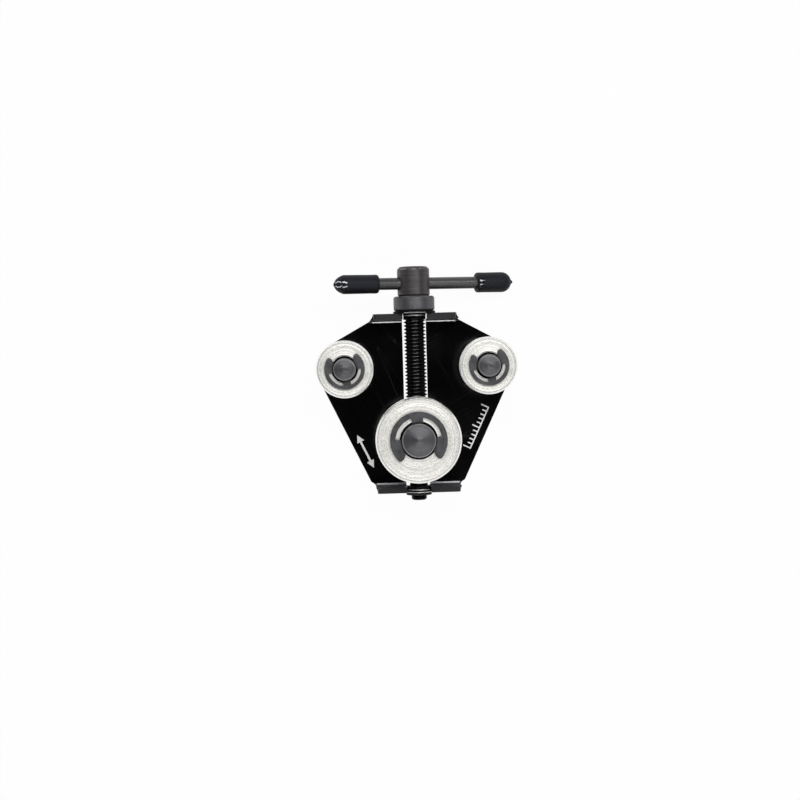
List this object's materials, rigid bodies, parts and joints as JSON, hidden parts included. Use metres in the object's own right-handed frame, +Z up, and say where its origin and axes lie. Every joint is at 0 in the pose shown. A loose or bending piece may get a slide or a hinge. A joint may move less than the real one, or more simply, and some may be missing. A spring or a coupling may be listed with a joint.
{
  "type": "brake line straightener",
  "caption": "Hand tool that straightens brake line: a folded steel frame with grooved rollers, the large one drawn up by a screw spindle with a sliding tommy bar.",
  "frame": {"origin": "centre of the footprint, on the plane of the rivet heads and the carriage pin tail that the tool lies on", "axes": "+Z up from the table to the roller faces, +Y along the spindle to its head, +X to the right roller"},
  "size_m": [0.0711, 0.0824, 0.0289],
  "materials": {
    "frame_paint": "glossy black paint on folded sheet steel",
    "roller_steel": "turned and bright plated",
    "pin_steel": "turned and blackened",
    "clip_steel": "phosphated spring steel",
    "spindle_steel": "blackened",
    "collar_steel": "turned and blackened",
    "washer_steel": "blackened",
    "bar_steel": "drawn and blackened",
    "grip_vinyl": "glossy dipped vinyl"
  },
  "bodies": {
    "frame_body": {"frame_plate": "frame_paint", "left_pin": "pin_steel", "right_pin": "pin_steel", "left_clip": "clip_steel", "right_clip": "clip_steel", "thrust_washer": "washer_steel", "lower_bush": "washer_steel"},
    "spindle_body": {"spindle": "spindle_steel", "thrust_collar": "collar_steel", "spindle_clip": "clip_steel"},
    "bar_body": {"tommy_bar": "bar_steel", "left_grip": "grip_vinyl", "right_grip": "grip_vinyl"},
    "carriage_body": {"carriage_pin": "pin_steel", "carriage_washer": "washer_steel", "carriage_clip": "clip_steel", "big_roller_clip": "clip_steel"},
    "big_roller_body": {"big_roller": "roller_steel"},
    "left_roller_body": {"left_roller": "roller_steel"},
    "right_roller_body": {"right_roller": "roller_steel"}
  },
  "joints": [
    {"name": "spindle_turn", "type": "hinge", "parent": "frame_body", "child": "spindle_body", "pos_m": [0, 0, 0.012], "axis": [0, -1, 0], "range_deg": [-2520, 5760]},
    {"name": "carriage_slide", "type": "slide", "parent": "frame_body", "child": "carriage_body", "axis": [0, 1, 0], "range_m": [-0.00876, 0.02001]},
    {"name": "bar_slide", "type": "slide", "parent": "spindle_body", "child": "bar_body", "axis": [0.967, 0, -0.2546], "range_m": [-0.0169, 0.0062]},
    {"name": "big_roller_spin", "type": "hinge", "parent": "carriage_body", "child": "big_roller_body", "pos_m": [0, -0.01953, 0.02158], "axis": [0, 0, 1], "continuous": true},
    {"name": "left_roller_spin", "type": "hinge", "parent": "frame_body", "child": "left_roller_body", "pos_m": [-0.025, 0.00577, 0.02158], "axis": [0, 0, 1], "continuous": true},
    {"name": "right_roller_spin", "type": "hinge", "parent": "frame_body", "child": "right_roller_body", "pos_m": [0.025, 0.00577, 0.02158], "axis": [0, 0, 1], "continuous": true}
  ],
  "couplings": [
    {"joint": "carriage_slide", "follows": "spindle_turn", "m_per_rad": 0.00019894}
  ]
}
